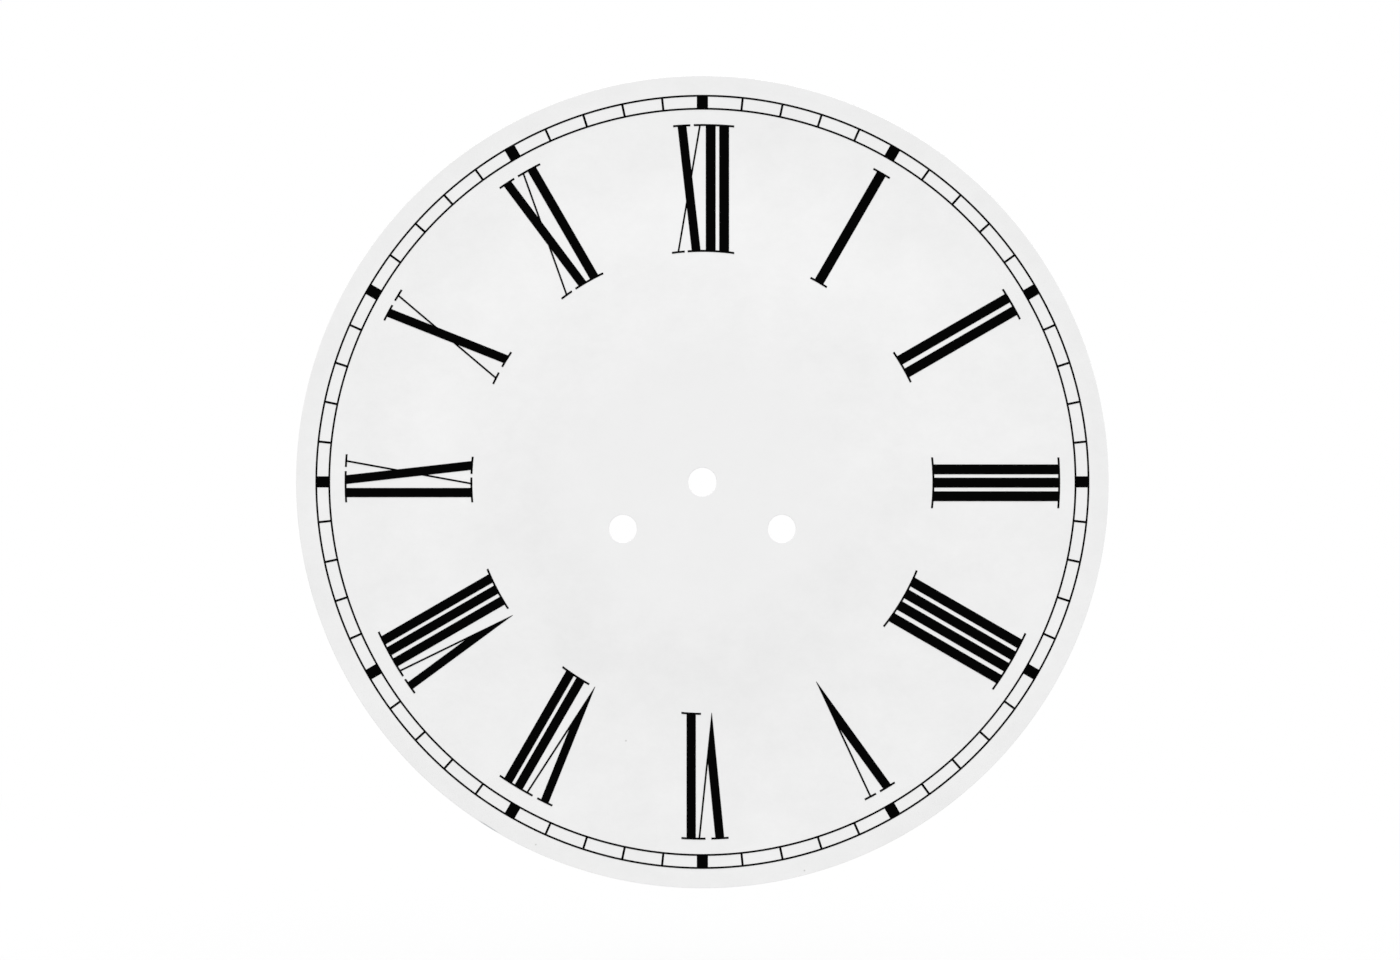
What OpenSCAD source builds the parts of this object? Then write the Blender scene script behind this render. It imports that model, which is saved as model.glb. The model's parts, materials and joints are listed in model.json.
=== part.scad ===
// Round clock dial with Roman numerals, a hand hole and two winding holes.
// Twelve o'clock points to +Z and the face looks along -Y, in millimetres.
// The origin is on the axis of the hand hole, at the back of the flat centre.

/* [Dial plate] */
// Diameter over the rim
dial_d = 254; // [220:1:320]
// Thickness of the sheet
sheet_t = 1.2; // [0.8:0.1:2]
// Height that the flat centre stands in front of the rim
crown_h = 2; // [0.6:0.1:3]
// Flat metal between each winding hole and the foot of the crown's slope
centre_margin = 2.9; // [1:0.1:10]
// Width of the flat rim
rim_w = 19; // [18:0.5:40]
// Rounding of the front edge of the sheet
edge_round = 0.1; // [0.1:0.05:0.6]

/* [Holes] */
// Diameter of the hand hole
hand_hole_d = 8.9; // [6:0.1:12]
// Diameter of each winding hole
winding_hole_d = 8.7; // [6:0.1:10]
// Distance between the two winding holes
winding_spacing = 49.6; // [40:0.1:52]
// Height of the hand hole above the winding holes
winding_drop = 14.6; // [8:0.1:16]

/* [White ground] */
// Thickness of the white coat
coat_t = 0.15; // [0.1:0.01:0.4]
// Bare edge left between the coat and each hole
coat_setback = 0.1; // [0.05:0.01:0.4]

/* [Minute track] */
// Thickness of the black print
ink_t = 0.06; // [0.04:0.01:0.15]
// Width over which the print of a circle thins out at each side
ink_shoulder = 0.05; // [0.02:0.01:0.1]
// Distance from the edge of the dial to the middle of the outer circle
track_margin = 6.3; // [2:0.1:12]
// Distance between the middles of the two circles
track_w = 4.05; // [2:0.05:8]
// Width of both circles
line_w = 0.6; // [0.3:0.05:1]
// Width of a minute bar
minute_bar_w = 0.7; // [0.3:0.05:1.5]
// Width of a five-minute bar
five_minute_bar_w = 3.5; // [2:0.1:5]

/* [Numerals] */
// Distance from the middle of the inner circle to the heads of the numerals
numeral_gap = 4.8; // [2:0.1:10]
// Height of the numerals
numeral_h = 40; // [30:0.25:45]
// Height of the four, the six, the seven and the eight
low_numeral_h = 39.7; // [30:0.1:45]
// Width of an upright stem
stem_w = 3.1; // [1.5:0.05:3.4]
// Width of an upright stem of the six to the eleven
light_stem_w = 2.9; // [1.5:0.05:3.4]
// Width across of a leaning heavy stroke
slant_w = 2.8; // [1.5:0.05:3.4]
// Width across of the leaning heavy stroke of the seven and the eight
light_slant_w = 2.65; // [1.5:0.05:3.4]
// Width across of a hairline
hair_w = 0.56; // [0.3:0.02:0.9]
// Width of the blunt point of a V
point_w = 0.15; // [0.05:0.05:0.4]
// Thickness of the serifs
serif_t = 0.62; // [0.3:0.02:1]
// Reach of a serif beside a stem
stem_reach = 1.6; // [1:0.1:2.2]
// Reach of a serif beside the stem of the one
lone_reach = 1.4; // [1:0.1:2.5]
// Reach of a serif beside the stems of the three and the four
wide_reach = 2.2; // [1:0.1:2.6]
// Reach of a serif beside a leaning heavy stroke
slant_reach = 1.3; // [0.8:0.1:1.6]
// Reach of a serif beside a hairline
hair_reach = 1.7; // [1:0.1:2]

/* [Places across the numerals] */
// Middle of the stem of the one, from its hour line, right positive
one_stem = 0.3; // [-12:0.05:12]
// Middles of the stems of the two
two_stems = [-2.05, 2.45]; // [-12:0.05:12]
// Middles of the stems of the three
three_stems = [-3.9, 0.25, 4.5]; // [-12:0.05:12]
// Middles of the stems of the four
four_stems = [-5.75, -1.55, 2.65, 7.05]; // [-12:0.05:12]
// Heavy head, hairline head and point of the V of the five
five_v = [-2.4, 3.7, 0.4]; // [-12:0.05:12]
// Heavy head, hairline head and point of the V of the six
six_v = [-5.5, 1, -2.9]; // [-12:0.05:12]
// Middle of the stem of the six
six_stem = 3.5; // [-12:0.05:12]
// Heavy head, hairline head and point of the V of the seven
seven_v = [-7.35, -1.1, -2.95]; // [-12:0.05:12]
// Middles of the stems of the seven
seven_stems = [2.05, 5.9]; // [-12:0.05:12]
// Heavy head, hairline head and point of the V of the eight
eight_v = [-9.6, -3.85, -6.45]; // [-12:0.05:12]
// Middles of the stems of the eight
eight_stems = [-0.9, 3.1, 6.95]; // [-12:0.05:12]
// Middle of the stem of the nine
nine_stem = -3.35; // [-12:0.05:12]
// Heavy head, heavy foot, hairline head and hairline foot of the X of the nine
nine_x = [0.65, 5.15, 6.65, -0.6]; // [-12:0.05:12]
// Heavy head, heavy foot, hairline head and hairline foot of the X of the ten
ten_x = [-3.3, 2.55, 3, -4.2]; // [-12:0.05:12]
// Heavy head, heavy foot, hairline head and hairline foot of the X of the eleven
eleven_x = [-6.25, -1.45, -0.2, -7.5]; // [-12:0.05:12]
// Middle of the stem of the eleven
eleven_stem = 2.7; // [-12:0.05:12]
// Heavy head, heavy foot, hairline head and hairline foot of the X of the twelve
twelve_x = [-6.45, -1.9, -0.7, -7.5]; // [-12:0.05:12]
// Middles of the stems of the twelve
twelve_stems = [2.6, 6.8]; // [-12:0.05:12]

/* [Dial feet] */
// Distance from the edge of the dial to the middle of a foot
foot_margin = 14; // [6:0.5:14]
// Length of a foot behind the rim
foot_l = 16; // [10:1:30]
// Diameter of a foot's shank
shank_d = 4; // [3:0.1:6]
// Diameter of a foot's collar
collar_d = 8; // [7:0.5:10]
// Thickness of a foot's collar
collar_t = 1.2; // [0.8:0.1:3]
// Diameter of the riveted end
rivet_d = 3; // [2:0.1:4]
// Chamfer on the free end
tip_chamfer = 0.5; // [0.2:0.1:1]
// Diameter of the cross hole for a taper pin
pin_hole_d = 1.4; // [1:0.1:2]
// Distance from the free end to the cross hole
pin_hole_from_tip = 3.5; // [2:0.5:5]

/* [Hidden] */
$fn = 96;

dial_r = dial_d / 2;
rim_flat_r = dial_r - rim_w;
centre_flat_r = norm([winding_spacing / 2, winding_drop]) + winding_hole_d / 2 + centre_margin;
foot_circle_r = dial_r - foot_margin;
outer_line_r = dial_r - track_margin;
inner_line_r = outer_line_r - track_w;
numeral_head_r = inner_line_r - numeral_gap;
numeral_foot_r = numeral_head_r - numeral_h;
low_foot_r = numeral_head_r - low_numeral_h;
face_z = sheet_t + coat_t;
rim_front_z = face_z - crown_h;
hours = 12;
minutes = 60;
foot_hours = [1.5, 4.5, 7.5, 10.5];
slope_steps = 12;
edge_steps = 4;
cut = 1;
track_inner_edge = inner_line_r + line_w / 2;
track_outer_edge = outer_line_r - line_w / 2;

metal = [0.78, 0.79, 0.8];
white = [0.94, 0.94, 0.94];
black = [0.03, 0.03, 0.03];
brass = [0.8, 0.65, 0.32];

// How far the sheet has dropped behind its flat centre at a radius
function drop(r) =
    r <= centre_flat_r ? 0
    : r >= rim_flat_r ? crown_h
    : crown_h * (1 - cos(180 * (r - centre_flat_r) / (rim_flat_r - centre_flat_r))) / 2;

slope_radii = [
    for (i = [0:slope_steps])
        centre_flat_r + (rim_flat_r - centre_flat_r) * i / slope_steps
];

// Half section of a layer that follows the crown, from the axis out to end_r
function layer_section(low, high, end_r) = concat(
    [[0, low]],
    [for (r = slope_radii) [r, low - drop(r)]],
    [[end_r, low - crown_h], [end_r, high - crown_h]],
    [for (i = [slope_steps:-1:0]) [slope_radii[i], high - drop(slope_radii[i])]],
    [[0, high]]
);

module layer(low, high, end_r) {
    rotate_extrude() polygon(layer_section(low, high, end_r));
}

// Stands the dial up, from lying with its face towards +Z
module upright() {
    rotate([90, 0, 0]) children();
}

module at_winding_holes() {
    for (side = [-1, 1])
        translate([side * winding_spacing / 2, -winding_drop, 0]) children();
}

// Three holes, each wider than its nominal size by extra all round
module holes(extra = 0) {
    translate([0, 0, -cut]) {
        cylinder(d = hand_hole_d + 2 * extra, h = face_z + 2 * cut);
        at_winding_holes() cylinder(d = winding_hole_d + 2 * extra, h = face_z + 2 * cut);
    }
}

// Ring of metal outside the rounded front edge, to be cut away
module edge_waste() {
    rotate_extrude() translate([dial_r - edge_round, sheet_t - crown_h - edge_round])
        polygon(concat(
            [for (i = [0:edge_steps]) edge_round * [sin(90 * i / edge_steps), cos(90 * i / edge_steps)]],
            [[edge_round + cut, 0], [edge_round + cut, edge_round + cut], [0, edge_round + cut]]
        ));
}

module dial_plate() {
    color(metal) upright() difference() {
        layer(0, sheet_t, dial_r);
        holes();
        edge_waste();
        at_each_foot() translate([0, 0, -crown_h - cut]) cylinder(d = rivet_d, h = sheet_t + 2 * cut);
    }
}

module white_ground() {
    color(white) upright() difference() {
        layer(sheet_t, face_z, dial_r - edge_round);
        holes(coat_setback);
    }
}

module ring(inner_r, outer_r) {
    difference() {
        circle(r = outer_r);
        circle(r = inner_r);
    }
}

// Thin circle of print, which thins out at both sides
module track_line(middle_r) {
    color(black) upright() translate([0, 0, rim_front_z]) rotate_extrude() translate([middle_r, 0])
        polygon([
            [-line_w / 2, 0], [line_w / 2, 0],
            [line_w / 2 - ink_shoulder, ink_t], [ink_shoulder - line_w / 2, ink_t]
        ]);
}

module outer_track_line() {
    track_line(outer_line_r);
}

module inner_track_line() {
    track_line(inner_line_r);
}

// Bar across the track at one of the sixty minutes
module track_bar(minute, width) {
    rotate(-360 * minute / minutes) translate([-width / 2, track_inner_edge - cut])
        square([width, track_outer_edge - track_inner_edge + 2 * cut]);
}

module track_bars() {
    color(black) upright() translate([0, 0, rim_front_z]) linear_extrude(ink_t) intersection() {
        ring(track_inner_edge, track_outer_edge);
        children();
    }
}

module minute_marks() {
    track_bars() union() for (m = [1:minutes - 1])
        if (m % (minutes / hours) != 0) track_bar(m, minute_bar_w);
}

module five_minute_marks() {
    track_bars() union() for (h = [1:hours]) track_bar(h * minutes / hours, five_minute_bar_w);
}

// A stroke is [place at the head, place at the foot, width, reach of its serifs].
function stem(across, reach = stem_reach, width = stem_w) = [across, across, width, reach];
function stems(places, width = stem_w) = [for (across = places) stem(across, width = width)];
function heavy(head, foot, width = slant_w) = [head, foot, width, slant_reach];
function hair(head, foot) = [head, foot, hair_w, hair_reach];
function x_strokes(x) = [heavy(x[0], x[1]), hair(x[2], x[3])];

// Stems whose first and last have wide serifs
function wide_stems(places) = [
    for (i = [0:len(places) - 1])
        stem(places[i], i == 0 || i == len(places) - 1 ? wide_reach : stem_reach)
];

// Place across a stroke at radius r, on its straight line from foot to head
function across_at(s, r, foot_r) = s[1] + (s[0] - s[1]) * (r - foot_r) / (numeral_head_r - foot_r);

module stroke(s, foot_r) {
    top_r = numeral_head_r + cut;
    low_r = foot_r - cut;
    top = across_at(s, top_r, foot_r);
    low = across_at(s, low_r, foot_r);
    polygon([
        [top - s[2] / 2, top_r], [top + s[2] / 2, top_r],
        [low + s[2] / 2, low_r], [low - s[2] / 2, low_r]
    ]);
}

// Outline of a V, from its heavy stroke over the crotch to its hairline and blunt point
module vee(v, width, foot_r) {
    heavy_in = v[0] + width / 2;
    hair_in = v[1] - hair_w / 2;
    share = (hair_in - heavy_in) / (v[1] - v[0] + (width + hair_w) / 2 - point_w);
    crotch_r = numeral_head_r - share * (numeral_head_r - foot_r);
    polygon([
        [v[0] - width / 2, numeral_head_r], [heavy_in, numeral_head_r],
        [heavy_in + share * (v[2] - point_w / 2 + width - heavy_in), crotch_r],
        [hair_in, numeral_head_r], [v[1] + hair_w / 2, numeral_head_r],
        [v[2] + point_w / 2, foot_r], [v[2] - point_w / 2, foot_r]
    ]);
}

// One serif block: end 0 is the head of a stroke, end 1 its foot
module serif_block(s, end) {
    half = s[2] / 2 + s[3];
    translate([s[end] - half, 0]) square([2 * half, numeral_head_r + cut]);
}

// A numeral is drawn upright at twelve o'clock, turned to its hour and laid on the crown.
// A V is given by its heavy head, hairline head and point, and the width of its heavy stroke.
module numeral(hour, strokes, v = [], v_w = slant_w, foot_r = numeral_foot_r) {
    has_v = len(v) > 0;
    v_heads = has_v ? [heavy(v[0], v[2], v_w), hair(v[1], v[2])] : [];
    color(black) upright() intersection() {
        translate([0, 0, rim_front_z - cut]) linear_extrude(crown_h + ink_t + 2 * cut)
            rotate(-360 * hour / hours) {
                intersection() {
                    ring(foot_r, numeral_head_r);
                    union() {
                        for (s = strokes) stroke(s, foot_r);
                        if (has_v) vee(v, v_w, foot_r);
                    }
                }
                intersection() {
                    ring(numeral_head_r - serif_t, numeral_head_r);
                    union() for (s = concat(strokes, v_heads)) serif_block(s, 0);
                }
                if (len(strokes) > 0) intersection() {
                    ring(foot_r, foot_r + serif_t);
                    union() for (s = strokes) serif_block(s, 1);
                }
            }
        layer(face_z, face_z + ink_t, numeral_head_r + cut);
    }
}

module numeral_i() {
    numeral(1, [stem(one_stem, lone_reach)]);
}

module numeral_ii() {
    numeral(2, stems(two_stems));
}

module numeral_iii() {
    numeral(3, wide_stems(three_stems));
}

module numeral_iiii() {
    numeral(4, wide_stems(four_stems), foot_r = low_foot_r);
}

module numeral_v() {
    numeral(5, [], five_v);
}

module numeral_vi() {
    numeral(6, [stem(six_stem, width = light_stem_w)], six_v, foot_r = low_foot_r);
}

module numeral_vii() {
    numeral(7, stems(seven_stems, light_stem_w), seven_v, light_slant_w, low_foot_r);
}

module numeral_viii() {
    numeral(8, stems(eight_stems, light_stem_w), eight_v, light_slant_w, low_foot_r);
}

module numeral_ix() {
    numeral(9, concat([stem(nine_stem, width = light_stem_w)], x_strokes(nine_x)));
}

module numeral_x() {
    numeral(10, x_strokes(ten_x));
}

module numeral_xi() {
    numeral(11, concat(x_strokes(eleven_x), [stem(eleven_stem, width = light_stem_w)]));
}

module numeral_xii() {
    numeral(12, concat(x_strokes(twelve_x), stems(twelve_stems)));
}

// Half way between two hours, on the circle of the feet
module at_foot(hour) {
    rotate(-360 * hour / hours) translate([0, foot_circle_r, 0]) children();
}

module at_each_foot() {
    for (hour = foot_hours) at_foot(hour) children();
}

// Turned post behind the rim, with its riveted end in the sheet
module dial_foot(hour) {
    tip_z = -crown_h - foot_l;
    color(brass) upright() at_foot(hour) difference() {
        union() {
            translate([0, 0, -crown_h]) cylinder(d = rivet_d, h = sheet_t);
            translate([0, 0, -crown_h - collar_t]) cylinder(d = collar_d, h = collar_t);
            translate([0, 0, tip_z + tip_chamfer]) cylinder(d = shank_d, h = foot_l - tip_chamfer - collar_t);
            translate([0, 0, tip_z])
                cylinder(d1 = shank_d - 2 * tip_chamfer, d2 = shank_d, h = tip_chamfer);
        }
        translate([-shank_d, 0, tip_z + pin_hole_from_tip]) rotate([0, 90, 0])
            cylinder(d = pin_hole_d, h = 2 * shank_d);
    }
}

module upper_right_foot() {
    dial_foot(foot_hours[0]);
}

module lower_right_foot() {
    dial_foot(foot_hours[1]);
}

module lower_left_foot() {
    dial_foot(foot_hours[2]);
}

module upper_left_foot() {
    dial_foot(foot_hours[3]);
}

dial_plate();
white_ground();
outer_track_line();
inner_track_line();
minute_marks();
five_minute_marks();
numeral_i();
numeral_ii();
numeral_iii();
numeral_iiii();
numeral_v();
numeral_vi();
numeral_vii();
numeral_viii();
numeral_ix();
numeral_x();
numeral_xi();
numeral_xii();
upper_right_foot();
lower_right_foot();
lower_left_foot();
upper_left_foot();
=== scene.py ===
import json
import math

import bmesh
import bpy
from mathutils import Matrix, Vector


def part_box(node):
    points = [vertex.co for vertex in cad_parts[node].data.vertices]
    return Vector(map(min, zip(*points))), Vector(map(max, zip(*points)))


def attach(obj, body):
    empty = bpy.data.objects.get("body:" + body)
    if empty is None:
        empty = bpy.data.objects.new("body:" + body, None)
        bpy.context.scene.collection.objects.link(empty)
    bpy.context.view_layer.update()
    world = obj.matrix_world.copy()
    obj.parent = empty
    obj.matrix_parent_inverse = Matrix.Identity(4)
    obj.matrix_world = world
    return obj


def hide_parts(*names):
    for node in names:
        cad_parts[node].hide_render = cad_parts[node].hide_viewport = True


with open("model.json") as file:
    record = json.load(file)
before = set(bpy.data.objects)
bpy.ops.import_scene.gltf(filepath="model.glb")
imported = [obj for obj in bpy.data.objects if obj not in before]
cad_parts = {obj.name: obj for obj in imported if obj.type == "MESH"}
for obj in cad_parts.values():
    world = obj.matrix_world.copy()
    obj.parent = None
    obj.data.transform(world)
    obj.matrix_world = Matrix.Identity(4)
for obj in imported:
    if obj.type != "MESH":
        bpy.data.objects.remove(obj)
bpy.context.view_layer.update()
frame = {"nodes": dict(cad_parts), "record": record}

mm = 0.001
fullTurn = 2 * math.pi

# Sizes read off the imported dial. Twelve o'clock is +Z and the face looks along -Y.
mounts = {mount["name"]: mount for mount in frame["record"]["mounts"]}
plateLow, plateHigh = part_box("dial_plate")
coatLow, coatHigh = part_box("white_ground")


def radiiAt(node, y, centre=(0, 0)):
    # How far the points of a CAD node that lie at one depth are from an axis along Y
    points = [vertex.co for vertex in frame["nodes"][node].data.vertices]
    return [math.hypot(p.x - centre[0], p.z - centre[1]) for p in points if abs(p.y - y) < 0.001 * mm]


dial = {
    "radius": plateHigh.x,
    "sheet": -plateLow.y,  # the back of the flat centre is at y = 0
    "coat": plateLow.y - coatLow.y,
    "crown": plateHigh.y,  # the rim lies this much behind the centre
    "flatCentre": max(radiiAt("dial_plate", 0)),
    "flatRim": min(radiiAt("dial_plate", plateHigh.y)),
    "segments": 360,  # round the rim and the track
    "slopeRings": 32,
    "flatRing": 1 * mm,  # as wide as this beside the slope, it keeps the slope's shading off the flats
    "sharpAngle": 40,  # degrees, past which a corner of the sheet or the coat is drawn hard
}
sheetFront = -dial["sheet"]
coatFront = sheetFront - dial["coat"]
rimFace = coatFront + dial["crown"]
print("dial: %.1f mm across, crown %.2f mm" % (2000 * dial["radius"], 1000 * dial["crown"]))


# Nodes of every tree come from here. A value that is a node's output is linked, and a node stands for its
# first output. Any other value is set on the socket.
def addNode(tree, kind, sockets=None, **settings):
    node = tree.nodes.new(kind)
    for name, value in settings.items():
        setattr(node, name, value)
    for socket, value in (sockets or {}).items():
        if isinstance(value, bpy.types.Node):
            value = value.outputs[0]
        if isinstance(value, bpy.types.NodeSocket):
            tree.links.new(value, node.inputs[socket])
        else:
            node.inputs[socket].default_value = value
    return node


def linear(hexColour):
    # sRGB hex to Blender's linear colour
    parts = [int(hexColour[i:i + 2], 16) / 255 for i in (1, 3, 5)]
    return [c / 12.92 if c <= 0.04045 else ((c + 0.055) / 1.055) ** 2.4 for c in parts] + [1]


def perMetre(size):
    return 1 / size  # a texture's scale, from the real size of its pattern


def newMaterial(name):
    material = bpy.data.materials.new(name)
    material.use_nodes = True
    material.node_tree.nodes.clear()
    return material, material.node_tree


# Camera: straight on, from the distance that the photograph's framing gives
shot = {"lens": 100, "sensor": 36, "viewWidth": 437.65 * mm, "aimX": -0.75 * mm, "aimZ": 0.58 * mm}
cameraData = bpy.data.cameras.new("photoCamera")
cameraData.lens = shot["lens"]
cameraData.sensor_width = shot["sensor"]
cameraData.clip_start = 0.05
cameraData.clip_end = 50
camera = bpy.data.objects.new("photoCamera", cameraData)
cameraDistance = shot["viewWidth"] * shot["lens"] / shot["sensor"]
camera.location = (shot["aimX"], rimFace - cameraDistance, shot["aimZ"])
camera.rotation_euler = (math.pi / 2, 0, 0)
bpy.context.scene.collection.objects.link(camera)
bpy.context.scene.camera = camera
print("camera at", [round(c, 3) for c in camera.location])


# White enamel, sprayed and stoved: it flows out smooth and softly glossy, with a faint orange peel and a
# greyish tone that clouds at random and changes with the radius
enamel = {
    "colour": "#F7F7F7",
    # the darker end of the random clouds and of the tone by radius
    "thin": "#E6E6E6",
    # Tone by radius, from the grey at 0 to the white at 1: a shade darker on the upper slope, lighter lower
    # down it and darker again at the very edge
    "film": {38 * mm: 0.5, 58 * mm: 0.465, 84 * mm: 0.6, 112 * mm: 0.5, 121 * mm: 0.5, 124 * mm: 0.43},
    "cloudSize": 24 * mm,
    "cloudStretch": 1.3,  # the gun passed from side to side
    "calmCentre": 38 * mm,  # the flat centre came out more even than the slope
    "calmShare": 0.35,  # of the slope's clouds
    "peelSize": 1.8 * mm,
    "peelDepth": 0.004 * mm,
    "nibSpacing": 24 * mm,  # dust caught in the wet film
    "nibSize": 0.35 * mm,
    "nibHeight": 4,  # times the depth of the peel
    "roughness": (0.3, 0.38),
    "specks": ((-52.1 * mm, -113.4 * mm), (-23.9 * mm, -80.9 * mm), (31.9 * mm, -121.5 * mm)),  # x and z
    "speckSize": 0.45 * mm,
    "speckColour": "#C4C4C2",
    "bareTurn": 211.8,  # where a grey metal band shows at the rim, in degrees clockwise from twelve
    "bareSpread": 1.9,  # degrees to each side
    "bareWidth": 0.36 * mm,
    "bareFade": 0.08 * mm,
    "bareColour": "#C4C6C8",
}


def stovedWhiteEnamel():
    material, tree = newMaterial("stovedWhiteEnamel")
    place = addNode(tree, "ShaderNodeTexCoord").outputs["Object"]
    flat = addNode(tree, "ShaderNodeVectorMath", {0: place, 1: (1, 0, 1)}, operation="MULTIPLY")
    radius = addNode(tree, "ShaderNodeVectorMath", {0: flat}, operation="LENGTH").outputs["Value"]
    stretched = addNode(tree, "ShaderNodeMapping", {
        "Vector": place, "Scale": (1 / enamel["cloudStretch"], 1, 1),
    })
    clouds = addNode(tree, "ShaderNodeTexNoise", {
        "Vector": stretched, "Scale": perMetre(enamel["cloudSize"]), "Detail": 6, "Roughness": 0.8,
    })
    strength = addNode(tree, "ShaderNodeMapRange", {
        "Value": radius, "From Min": 0.8 * enamel["calmCentre"], "From Max": 1.4 * enamel["calmCentre"],
        "To Min": enamel["calmShare"], "To Max": 1,
    })
    # Tone by radius, from the film table above: rings a shade darker and lighter than the mean
    share = addNode(tree, "ShaderNodeMath", {0: radius, 1: dial["radius"]}, operation="DIVIDE")
    film = addNode(tree, "ShaderNodeValToRGB", {"Fac": share})
    film.color_ramp.interpolation = "EASE"
    for distance, thickness in enamel["film"].items():
        stop = film.color_ramp.elements.new(distance / dial["radius"])
        stop.color = (thickness, thickness, thickness, 1)
    film.color_ramp.elements.remove(film.color_ramp.elements[0])
    film.color_ramp.elements.remove(film.color_ramp.elements[-1])
    swing = addNode(tree, "ShaderNodeMath", {0: clouds, 1: 0.5}, operation="SUBTRACT")
    cloudy = addNode(tree, "ShaderNodeMath", {
        0: swing, 1: strength, 2: film.outputs["Color"],
    }, operation="MULTIPLY_ADD")
    even = addNode(tree, "ShaderNodeMix", {
        0: cloudy, 6: linear(enamel["thin"]), 7: linear(enamel["colour"]),
    }, data_type="RGBA")
    # Specks: small dull marks in the coat
    specked = None
    for x, z in enamel["specks"]:
        fromSpeck = addNode(tree, "ShaderNodeVectorMath", {0: flat, 1: (x, 0, z)}, operation="DISTANCE")
        speck = addNode(tree, "ShaderNodeMapRange", {
            "Value": fromSpeck.outputs["Value"], "From Min": enamel["speckSize"], "From Max": 0,
        }, interpolation_type="SMOOTHSTEP")
        if specked:
            speck = addNode(tree, "ShaderNodeMath", {0: specked, 1: speck}, operation="MAXIMUM")
        specked = speck
    marked = addNode(tree, "ShaderNodeMix", {
        0: specked, 6: even.outputs[2], 7: linear(enamel["speckColour"]),
    }, data_type="RGBA")
    # Grey metal: a band at the very edge, over a short arc
    edge = dial["radius"] - enamel["bareWidth"]
    atEdge = addNode(tree, "ShaderNodeMapRange", {
        "Value": radius, "From Min": edge - enamel["bareFade"], "From Max": edge + enamel["bareFade"],
    }, interpolation_type="SMOOTHSTEP")
    turn = math.radians(enamel["bareTurn"])
    middle = (math.sin(turn) * dial["radius"], rimFace, math.cos(turn) * dial["radius"])
    away = addNode(tree, "ShaderNodeVectorMath", {0: place, 1: middle}, operation="DISTANCE")
    reach = math.radians(enamel["bareSpread"]) * dial["radius"]
    nearBy = addNode(tree, "ShaderNodeMapRange", {
        "Value": away.outputs["Value"], "From Min": reach, "From Max": 0.35 * reach,
    }, interpolation_type="SMOOTHSTEP")
    bare = addNode(tree, "ShaderNodeMath", {0: atEdge, 1: nearBy}, operation="MULTIPLY")
    colour = addNode(tree, "ShaderNodeMix", {
        0: bare, 6: marked.outputs[2], 7: linear(enamel["bareColour"]),
    }, data_type="RGBA")
    # Orange peel and a few dust nibs
    peel = addNode(tree, "ShaderNodeTexNoise", {
        "Vector": place, "Scale": perMetre(enamel["peelSize"]), "Detail": 1.5, "Roughness": 0.45,
    })
    nibs = addNode(tree, "ShaderNodeTexVoronoi", {"Vector": place, "Scale": perMetre(enamel["nibSpacing"])})
    nibEdge = enamel["nibSize"] / enamel["nibSpacing"]
    nib = addNode(tree, "ShaderNodeMapRange", {
        "Value": nibs.outputs["Distance"], "From Min": nibEdge, "From Max": 0,
    }, interpolation_type="SMOOTHSTEP")
    height = addNode(tree, "ShaderNodeMath", {
        0: nib, 1: enamel["nibHeight"], 2: peel,
    }, operation="MULTIPLY_ADD")
    bump = addNode(tree, "ShaderNodeBump", {
        "Strength": 1, "Distance": enamel["peelDepth"], "Height": height,
    })
    gloss = addNode(tree, "ShaderNodeMapRange", {
        "Value": clouds, "To Min": enamel["roughness"][0], "To Max": enamel["roughness"][1],
    })
    surface = addNode(tree, "ShaderNodeBsdfPrincipled", {
        "Base Color": colour.outputs[2], "Metallic": bare, "Roughness": gloss, "IOR": 1.5,
        "Normal": bump,
    })
    addNode(tree, "ShaderNodeOutputMaterial", {"Surface": surface})
    return material


# Aluminium sheet, mill finish: bright grey with fine lines from the rolls along X, a few dull patches,
# stray scratches from handling and, near the rim, a mist of white from the spray gun
aluminium = {
    "colour": "#C8CACC",
    "stain": "#B2B4B6",
    "stainSize": 55 * mm,
    "lineWidth": 0.35 * mm,  # real roll lines are about 0.05 mm wide, drawn coarser so that they show
    "lineLength": 70 * mm,
    "lineDrift": 4 * mm,  # behind the slope the lines wander by their place in depth
    "lineDepth": 0.0012 * mm,
    "roughness": (0.28, 0.42),
    "scratchWidth": 0.5 * mm,  # drawn coarser than real ones, for the same reason
    "scratchLength": 38 * mm,
    "scratchDrift": 20 * mm,
    "scratchTurns": (21, -48, 77),  # degrees from the roll lines
    "scratchCrests": (0.78, 0.86),  # heights of the noise between which a scratch comes up
    "scratchColour": "#E2E3E4",
    "overspray": "#E6E6E6",
    "oversprayWidth": 7 * mm,
    "oversprayGrain": 1.1 * mm,
    "oversprayBuild": 0.45,  # how much more lands at the rim than further in
    "oversprayDensity": (0.66, 0.92),  # from the first specks to a closed film
}


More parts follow.
